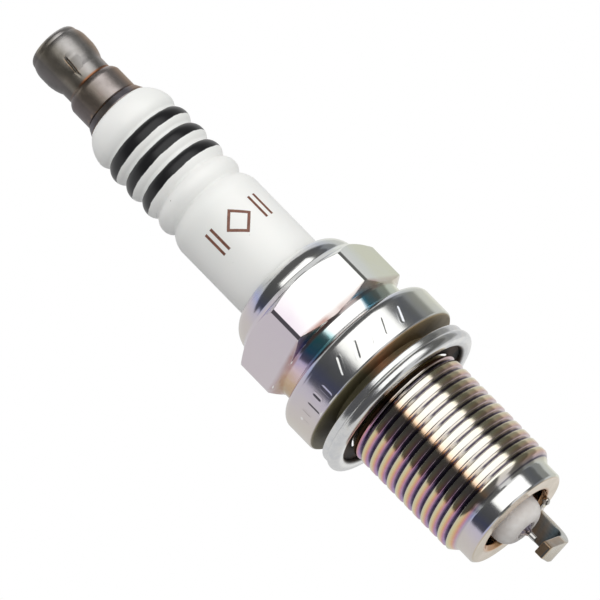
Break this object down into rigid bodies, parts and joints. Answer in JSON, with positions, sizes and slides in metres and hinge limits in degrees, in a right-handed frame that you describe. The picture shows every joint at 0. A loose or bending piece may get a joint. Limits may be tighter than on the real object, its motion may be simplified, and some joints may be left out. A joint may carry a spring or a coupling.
{
  "type": "spark plug",
  "caption": "Resistor spark plug with a 14 mm thread, folded gasket, 16 mm hexagon, ribbed white insulator, barrel terminal nut and fine-wire firing tip.",
  "frame": {"origin": "centre of the flange's seating face, on the plug's axis", "axes": "+Z along the plug's axis from the firing end to the terminal; the ground electrode's leg is at +Y"},
  "size_m": [0.0194, 0.0194, 0.0746],
  "materials": {
    "plated_shell": "bright zinc plate with a clear iridescent passivation",
    "gasket_steel": "satin zinc plate",
    "glazed_alumina": "white glaze, gloss, with three black glazed bands",
    "terminal_steel": "dark nickel, semi-gloss",
    "seal_glass": "copper-filled sealing glass, opaque",
    "resistor_mix": "carbon and glass mix, matt",
    "nickel_alloy": "drawn nickel alloy",
    "copper": "copper",
    "iridium": "fine-drawn iridium alloy",
    "ground_nickel": "nickel alloy strap, satin, cut edges bright",
    "packing_steel": "plain soft steel",
    "talc": "pressed talc powder, matt"
  },
  "bodies": {
    "plug": {"metal_shell": "plated_shell", "insulator": "glazed_alumina", "terminal_stud": "terminal_steel", "upper_glass_seal": "seal_glass", "resistor": "resistor_mix", "lower_glass_seal": "seal_glass", "center_electrode": "nickel_alloy", "electrode_copper_core": "copper", "tip_weld": "nickel_alloy", "iridium_tip": "iridium", "ground_electrode": "ground_nickel", "weld_flash": "ground_nickel", "seat_washer": "packing_steel", "lower_packing_ring": "packing_steel", "upper_packing_ring": "packing_steel", "talc_fill": "talc"},
    "nut": {"terminal_nut": "terminal_steel"},
    "seal_ring": {"gasket": "gasket_steel"}
  },
  "joints": [
    {"name": "nut_unscrew", "type": "slide", "parent": "plug", "child": "nut", "axis": [0, 0, 1], "range_m": [0, 0.007]},
    {"name": "gasket_lift", "type": "slide", "parent": "plug", "child": "seal_ring", "axis": [0, 0, 1], "range_m": [0, 0.0012]}
  ]
}
